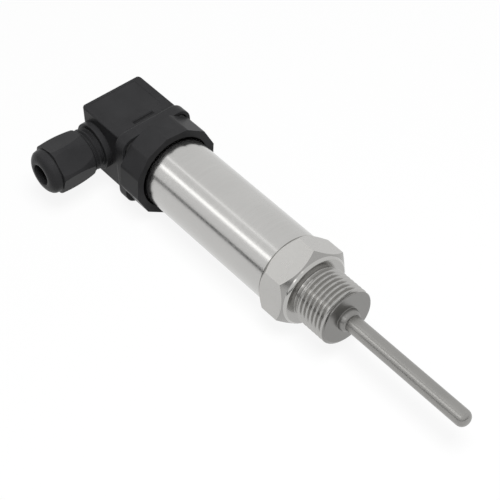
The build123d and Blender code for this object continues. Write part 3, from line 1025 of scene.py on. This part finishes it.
@dataclass
class PlugHousing:
    """Right-angle housing: square skirt, box and threaded neck in one moulding."""

    rim: float = -84.1
    skirt_top: float = -87.9
    shoulder_end: float = -89.1
    end: float = -110.9
    skirt_side: float = 29.5
    skirt_round: float = 5.0
    skirt_wall: float = 1.4
    skirt_floor: float = -86.1
    box_side: float = 25.2
    box_lift: float = 0.5
    box_edge: float = 0.6
    end_corner: float = 1.6
    cavity_side: float = 21.6
    cavity_round: float = 0.3
    roof_inside: float = -108.9
    post_radius: float = 3.0
    post_end: float = -95.9
    hole_radius: float = 1.75
    head_radius: float = 3.05
    head_recess: float = 1.2
    slot_place: Point = (-91.7, 0.3)
    slot_size: Place = (2.2, 9.0, 2.2)
    slot_slope: float = 1.1
    panel_middle: float = -101.65
    panel_size: Place = (15.5, 19.0, 0.24)
    neck_sunk: float = 0.6
    neck_bore: float = 5.0
    seal_seat: float = 6.2
    seal_floor: float = 20.6
    shoulder_radius: float = 8.9
    shoulder_height: float = 14.9
    thread_radius: float = 8.0
    thread_root: float = 7.08
    thread_pitch: float = 1.5
    neck_end: float = 28.9

    def case(self, plastic: bpy.types.Material) -> bpy.types.Object:
        """Return the skirt and box with their hollow, before the details are cut in."""
        work = Workpiece()
        lifted = (0.0, self.box_lift)
        level = (0.0, 0.0)
        side = self.skirt_side
        inner = side - 2.0 * self.skirt_wall
        corner = self.skirt_round
        box = self.box_side
        rows = [
            (self.shoulder_end - 0.25, lifted, box, self.box_edge),
            (self.shoulder_end - 0.02, lifted, box + 0.5, self.box_edge + 0.25),
            (self.shoulder_end, level, side - 2.2, corner - 1.1),
            (self.skirt_top - 1.1, level, side - 1.3, corner - 0.65),
            (self.skirt_top - 0.85, level, side - 0.62, corner - 0.3),
            (self.skirt_top - 0.45, level, side - 0.16, corner - 0.08),
            (self.skirt_top, level, side, corner),
            (self.rim - 0.15, level, side, corner),
            (self.rim, level, side - 0.3, corner - 0.15),
            (self.rim, level, inner + 0.3, corner - self.skirt_wall + 0.15),
            (self.rim - 0.15, level, inner, corner - self.skirt_wall),
            (self.skirt_floor, level, inner, corner - self.skirt_wall),
            (self.skirt_floor, level, self.cavity_side, self.cavity_round),
            (self.roof_inside, level, self.cavity_side, self.cavity_round),
        ]
        squares = [rounded(x, middle, (size, size), radius) for x, middle, size, radius in rows]
        work.loft(self.far_end() + squares)
        work.turn(
            SENSOR_AXIS,
            [
                (self.post_end, self.hole_radius - 0.3),
                (self.post_end, self.post_radius),
                (self.roof_inside - 0.2, self.post_radius),
                (self.roof_inside - 0.2, self.hole_radius - 0.3),
            ],
            48,
        )
        return work.done("plug_case", plastic, 38.0)

    def far_end(self) -> list[list[Vector]]:
        """Return the rows of the far end, whose upright corners are its rounder edges."""
        rows = []
        for step in range(CORNER_POINTS):
            turn = math.radians(90.0 * (1.0 - step / (CORNER_POINTS - 1)))
            depth = self.end_corner * (1.0 - math.sin(turn))
            inset = self.end_corner * (1.0 - math.cos(turn))
            left = max(self.box_edge - depth, 0.0)
            drop = self.box_edge - math.sqrt(self.box_edge**2 - left**2)
            size = (self.box_side - 2.0 * inset, self.box_side - 2.0 * drop)
            radius = max(self.box_edge - drop, 0.12)
            rows.append(rounded(self.end + depth, (0.0, self.box_lift), size, radius))
        return rows

    def cutters(self) -> list[bpy.types.Object]:
        """Return the shapes that are cut out of the case."""
        blank = bpy.data.materials.new("cutter")
        made = []
        hole = Workpiece()
        hole.turn(
            SENSOR_AXIS,
            [
                (self.end - 1.0, 0.0), (self.end - 1.0, self.head_radius),
                (self.end + self.head_recess, self.head_radius),
                (self.end + self.head_recess, self.hole_radius),
                (self.post_end + 1.0, self.hole_radius), (self.post_end + 1.0, 0.0),
            ],
            64,
            closed=False,
        )
        made.append(hole.done("hole_cutter", blank))
        way = Workpiece()
        way.turn(
            GLAND_AXIS,
            [(9.0, 0.0), (9.0, self.neck_bore), (14.0, self.neck_bore), (14.0, 0.0)],
            64,
            closed=False,
        )
        made.append(way.done("cable_cutter", blank))
        return made

    def relief(self) -> list[bpy.types.Object]:
        """Return the cutters of the pry slot and of the shallow panel on the large face."""
        blank = bpy.data.materials.new("relief_cutter")
        top = self.box_side / 2.0 + self.box_lift
        x, y = self.slot_place
        slot = Workpiece()
        corners = slot.block((x, y, top), self.slot_size)
        low = [vertex for vertex in corners if vertex.co.z < top and vertex.co.x > x]
        bmesh.ops.translate(slot.mesh, verts=low, vec=(0.0, 0.0, self.slot_slope))
        panel = Workpiece()
        panel.block((self.panel_middle, 0.0, top), self.panel_size)
        return [slot.done("slot_cutter", blank), panel.done("panel_cutter", blank)]

    def neck(self, plastic: bpy.types.Material) -> bpy.types.Object:
        """Return the neck with its collar and thread."""
        work = Workpiece()
        foot = self.box_side / 2.0 - self.neck_sunk
        top = self.shoulder_height
        start = top + 0.1
        work.turn(
            GLAND_AXIS,
            [
                (foot, self.neck_bore),
                (foot, self.shoulder_radius),
                (top - 0.35, self.shoulder_radius),
                (top - 0.1, self.shoulder_radius - 0.08),
                (top, self.shoulder_radius - 0.3),
                (top, self.thread_root + 0.1),
                (top + 0.15, self.thread_root - 0.02),
                (top + 0.3, self.neck_bore),
            ],
            160,
        )
        thread = ThreadForm(
            GLAND_AXIS, start, self.neck_end, start - self.thread_pitch, self.thread_pitch,
            self.thread_radius, self.thread_root, self.largest, 112,
        )
        bore = [
            (start, self.neck_bore),
            (self.seal_floor, self.neck_bore),
            (self.seal_floor, self.seal_seat),
            (self.neck_end, self.seal_seat),
        ]
        thread.cut_into(work, bore)
        return work.done("gland_neck", plastic, 38.0)

    def largest(self, distance: float) -> float:
        """Return the largest radius of the gland thread at a distance from the sensor axis."""
        rise = self.thread_root + (distance - self.shoulder_height - 0.3) * 1.2
        fall = self.thread_radius - (distance - self.neck_end + 0.6)
        return max(self.thread_root - 0.02, min(rise, fall, self.thread_radius))

    def build(self, plastic: bpy.types.Material) -> None:
        """Build the pieces and put them on the plug.

        Args:
            plastic: finish of the moulding.
        """
        case = self.case(plastic)
        carve(case, self.cutters() + self.relief())
        mount(case, Body.PLUG, "plug_housing")
        mount(self.neck(plastic), Body.PLUG, "plug_housing")


@dataclass
class GlandNut:
    """Domed hexagon nut of the cable gland."""

    flats: float = 17.0
    first_flat: float = 12.0
    corner_round: float = 0.18
    back: float = 19.2
    back_radius: float = 8.75
    back_chamfer: float = 0.35
    crown: Point = (29.5, 9.4)
    front: Point = (32.7, 9.2)
    groove_radius: float = 8.0
    groove_end: float = 33.2
    nose_radius: float = 8.3
    nose_front: Point = (35.0, 8.0)
    nose_end: Point = (36.9, 4.8)
    nose_round: float = 3.7
    hole_radius: float = 3.85
    bore_radius: float = 8.05
    shoulder: float = 30.8
    cone_radius: float = 6.3
    cone_end: float = 34.2

    def nose(self) -> list[Point]:
        """Return the rounded end of the profile."""
        (ax, ar), (bx, br) = self.nose_front, self.nose_end
        mid = Vector(((ax + bx) / 2.0, (ar + br) / 2.0))
        chord = Vector((bx - ax, br - ar))
        inward = Vector((chord.y, -chord.x)).normalized()
        depth = math.sqrt(self.nose_round**2 - (chord.length / 2.0) ** 2)
        centre = mid + inward * depth
        start = math.degrees(math.atan2(ar - centre.y, ax - centre.x))
        end = math.degrees(math.atan2(br - centre.y, bx - centre.x))
        return arc((centre.x, centre.y), self.nose_round, start, end, 10)

    def build(self, plastic: bpy.types.Material) -> None:
        """Build the piece and put it on the plug's neck.

        Args:
            plastic: finish of the moulding.
        """
        work = Workpiece()
        crown = bulge((self.back + self.back_chamfer, self.back_radius), self.crown, self.front, 16)
        work.turn(
            GLAND_AXIS,
            [
                (self.back, self.bore_radius),
                (self.back, self.back_radius - self.back_chamfer),
                *crown,
                (self.front[0] + 0.12, self.front[1] - 0.14),
                (self.front[0] + 0.15, self.groove_radius + 0.3),
                (self.front[0] + 0.3, self.groove_radius),
                (self.groove_end - 0.12, self.groove_radius + 0.02),
                (self.groove_end, self.nose_radius - 0.08),
                (self.groove_end + 0.15, self.nose_radius),
                *self.nose(),
                (self.nose_end[0], self.hole_radius + 0.25),
                (self.nose_end[0] - 0.08, self.hole_radius + 0.06),
                (self.nose_end[0] - 0.3, self.hole_radius),
                (self.cone_end, self.hole_radius),
                (self.shoulder, self.cone_radius),
                (self.shoulder, self.bore_radius),
            ],
            160,
        )
        work.mill_flats(GLAND_AXIS, self.flats, 6, self.first_flat, self.corner_round)
        piece = work.done("domed_nut", plastic, 32.0)
        mount(piece, Body.NUT, "gland_nut")


@dataclass
class FixingScrew:
    """Long slotted screw through the plug."""

    head_height: float = 2.6
    head_radius: float = 2.75
    shank_radius: float = 1.5
    thread_root: float = 1.19
    thread_pitch: float = 0.5
    thread_start: float = -86.0
    slot_width: float = 0.8
    slot_depth: float = 1.2

    def build(self, zinc: bpy.types.Material) -> None:
        """Build the piece and put it on its body.

        Args:
            zinc: finish of the screw.
        """
        low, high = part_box("fixing_screw")
        top = low.x / METRES
        under = top + self.head_height
        work = Workpiece()
        work.turn(
            SENSOR_AXIS,
            [
                (under, 0.0), (under, self.head_radius - 0.1), (under - 0.1, self.head_radius),
                (top + 0.25, self.head_radius), (top + 0.07, self.head_radius - 0.08),
                (top, self.head_radius - 0.3), (top, 0.0),
            ],
            72,
            closed=False,
        )
        slot = Workpiece()
        length = 2.0 * self.head_radius + 2.0
        slot.block((top, 0.0, 0.0), (2.0 * self.slot_depth, length, self.slot_width))
        head = work.done("screw_head", zinc, 32.0)
        carve(head, [slot.done("slot_cutter", zinc)])
        mount(head, Body.SCREW, "fixing_screw")
        shank = Workpiece()
        end = high.x / METRES
        start = self.thread_start
        radius = self.shank_radius
        shank.turn(
            SENSOR_AXIS,
            [
                (under - 0.2, 0.0), (under - 0.2, radius), (start + 0.1, radius),
                (start + 0.4, self.thread_root), (start + 0.4, 0.0),
            ],
            48,
            closed=False,
        )
        thread = ThreadForm(
            SENSOR_AXIS, start, end, start - self.thread_pitch, self.thread_pitch,
            radius, self.thread_root,
            lambda distance: max(0.3, min(radius, radius - (distance - end + 0.4))), 36,
        )
        thread.cut_into(shank)
        mount(shank.done("screw_shank", zinc, 40.0), Body.SCREW, "fixing_screw")


@dataclass
class InnerPieces:
    """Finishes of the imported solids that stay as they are."""

    black_rubber: PlainFinish = PlainFinish(
        "moulded_rubber", (0.010, 0.010, 0.010), (0.022, 0.022, 0.022), 0.72, 0.0, 3800.0, 0.000012
    )
    ceramic: PlainFinish = PlainFinish("alumina", (0.72, 0.69, 0.62), (0.86, 0.83, 0.77), 0.55)
    nickel: PlainFinish = PlainFinish("nickel", (0.5, 0.49, 0.46), (0.66, 0.65, 0.61), 0.26, 1.0)
    component: PlainFinish = PlainFinish(
        "moulded_package", (0.02, 0.02, 0.02), (0.045, 0.045, 0.045), 0.5
    )
    white: PlainFinish = PlainFinish("white_nylon", (0.66, 0.66, 0.63), (0.78, 0.78, 0.75), 0.42)
    insulation: PlainFinish = PlainFinish(
        "red_insulation", (0.36, 0.03, 0.025), (0.5, 0.06, 0.04), 0.38
    )
    tinned: PlainFinish = PlainFinish(
        "tinned_brass", (0.58, 0.57, 0.53), (0.74, 0.73, 0.69), 0.24, 1.0
    )
    brass: PlainFinish = PlainFinish(
        "turned_brass", (0.56, 0.4, 0.17), (0.78, 0.6, 0.31), 0.27, 1.0
    )
    board: BoardFinish = BoardFinish("solder_mask")

    def dress(self, plastic: bpy.types.Material, zinc: bpy.types.Material) -> None:
        """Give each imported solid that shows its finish.

        Args:
            plastic: finish of the black mouldings.
            zinc: finish of the small screws.
        """
        rubber = self.black_rubber.material()
        ceramic = self.ceramic.material()
        tinned = self.tinned.material()
        white = self.white.material()
        finishes = {
            "sensing_element": ceramic,
            "lead_insulator": ceramic,
            "element_leads": self.nickel.material(),
            "circuit_board": self.board.material(),
            "board_components": self.component.material(),
            "board_carrier": white,
            "pin_wires": self.insulation.material(),
            "base_o_ring": rubber,
            "signal_pins": tinned,
            "earth_pin": tinned,
            "threaded_insert": self.brass.material(),
            "plug_gasket": rubber,
            "terminal_block": plastic,
            "socket_contacts": tinned,
            "clamp_screws": zinc,
            "gland_seal": rubber,
            "screw_seal": rubber,
            "thrust_ring": white,
        }
        for node, material in finishes.items():
            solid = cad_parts[node]
            solid.data.materials.clear()
            solid.data.materials.append(material)
            LOG.info("%s: %s", node, material.name)


@dataclass(frozen=True)
class Lamp:
    """A soft lamp that hangs across the sensor and shines at its axis.

    Attributes:
        name: its name.
        place: where it hangs, in metres.
        size: its length along the sensor and its width, in metres.
        power: its power in watts.
        mirrored: whether it shows in shiny surfaces.
    """

    name: str
    place: Place
    size: Point
    power: float
    mirrored: bool

    def hang(self) -> None:
        """Add the lamp to the scene."""
        data = bpy.data.lights.new(self.name, "AREA")
        data.shape = "RECTANGLE"
        data.size, data.size_y = self.size
        data.energy = self.power
        lamp = bpy.data.objects.new(self.name, data)
        lamp.location = self.place
        lamp.visible_glossy = self.mirrored
        lamp.rotation_euler = (-math.atan2(self.place[1], self.place[2]), 0.0, 0.0)
        bpy.context.scene.collection.objects.link(lamp)


@dataclass
class Studio:
    """Pale floor, soft light, dark strips beside the room and the camera."""

    ambient: float = 0.15
    glow: float = 0.9
    floor_shade: float = 0.5
    floor_height: float = -0.01687
    floor_half: float = 2.0
    lamps: tuple[Lamp, ...] = (
        Lamp("key_lamp", (0.3, -0.1, 0.97), (0.5, 0.5), 22.5, False),
        Lamp("streak_lamp", (-0.55, -0.62, 0.61), (2.0, 0.14), 1.25, True),
        Lamp("faint_lamp", (-0.55, -0.23, 0.84), (2.0, 0.07), 0.3, True),
    )
    strips: tuple[tuple[Place, Place], ...] = (
        ((-800.0, -1200.0, 85.0), (4000.0, 2.0, 170.0)),
        ((1200.0, 0.0, 85.0), (2.0, 2400.0, 170.0)),
    )
    strip_dark: Colour = (0.01, 0.01, 0.01)
    strip_light: Colour = (0.03, 0.03, 0.03)
    camera_place: Place = (0.2781, -0.2423, 0.4081)
    camera_right: Place = (0.6343, 0.7727, -0.0256)
    camera_up: Place = (-0.5492, 0.4736, 0.6884)
    camera_back: Place = (0.5441, -0.4226, 0.7248)
    lens: float = 122.4
    sensor: float = 36.0

    def camera(self) -> None:
        """Place the camera at the photograph's angle."""
        data = bpy.data.cameras.new("camera")
        data.lens = self.lens
        data.sensor_width = self.sensor
        data.clip_start = 0.01
        data.clip_end = 20.0
        eye = bpy.data.objects.new("camera", data)
        turn = Matrix((self.camera_right, self.camera_up, self.camera_back)).transposed()
        eye.matrix_world = Matrix.Translation(self.camera_place) @ turn.to_4x4()
        bpy.context.scene.collection.objects.link(eye)
        bpy.context.scene.camera = eye

    def floor(self) -> None:
        """Lay the pale floor."""
        work = Workpiece()
        level = Matrix.Translation((0.0, 0.0, self.floor_height / METRES))
        bmesh.ops.create_grid(
            work.mesh, x_segments=1, y_segments=1, size=self.floor_half / METRES, matrix=level
        )
        graph = Graph("pale_floor")
        matt = graph.add("ShaderNodeBsdfDiffuse", inputs={0: (*(self.floor_shade,) * 3, 1.0)})
        glow = graph.add("ShaderNodeEmission", inputs={0: WHITE, 1: 1.0})
        share = graph.seen() * self.glow
        mixed = graph.add("ShaderNodeMixShader", inputs={0: share, 1: matt, 2: glow})
        graph.add("ShaderNodeOutputMaterial", inputs={0: mixed})
        work.done("floor", graph.owner)

    def light(self) -> None:
        """Light the scene from a white room and soft lamps."""
        world = bpy.data.worlds.new("white_room")
        bpy.context.scene.world = world
        graph = Graph(world)
        soft = graph.add("ShaderNodeBackground", inputs={0: WHITE, 1: self.ambient})
        bright = graph.add("ShaderNodeBackground", inputs={0: WHITE, 1: 1.0})
        mixed = graph.add("ShaderNodeMixShader", inputs={0: graph.seen(), 1: soft, 2: bright})
        graph.add("ShaderNodeOutputWorld", inputs={0: mixed})
        for lamp in self.lamps:
            lamp.hang()

    def dark_edge(self) -> None:
        """Stand a dark strip at two edges of the room, which shiny pieces show as a line."""
        strip = Workpiece()
        for middle, size in self.strips:
            strip.block(middle, size)
        graph = Graph("dark_cloth")
        weave = graph.noise(graph.place(), 300.0)
        colour = graph.blend(weave, self.strip_dark, self.strip_light)
        piece = strip.done("dark_strip", graph.finish(Base_Color=colour, Roughness=0.9))
        piece.visible_camera = False

    def build(self) -> None:
        """Set up the whole studio."""
        self.camera()
        self.floor()
        self.light()
        self.dark_edge()
        bpy.context.scene.view_settings.view_transform = "Standard"


def main() -> None:
    """Build the sensor's pieces in order."""
    logging.basicConfig(level=logging.INFO, format="%(name)s %(message)s")
    Studio().build()
    plastic = MouldedPlastic("black_moulding").material()
    zinc = PlainFinish(
        "bright_zinc", (0.5, 0.51, 0.53), (0.68, 0.69, 0.71), 0.27, 1.0, 2600.0
    ).material()
    ProcessConnection().build()
    BodyTube().build()
    ProbeStem().build()
    PlugBase().build(plastic)
    PlugHousing().build(plastic)
    GlandNut().build(plastic)
    FixingScrew().build(zinc)
    InnerPieces().dress(plastic, zinc)


if __name__ == "__main__":
    main()
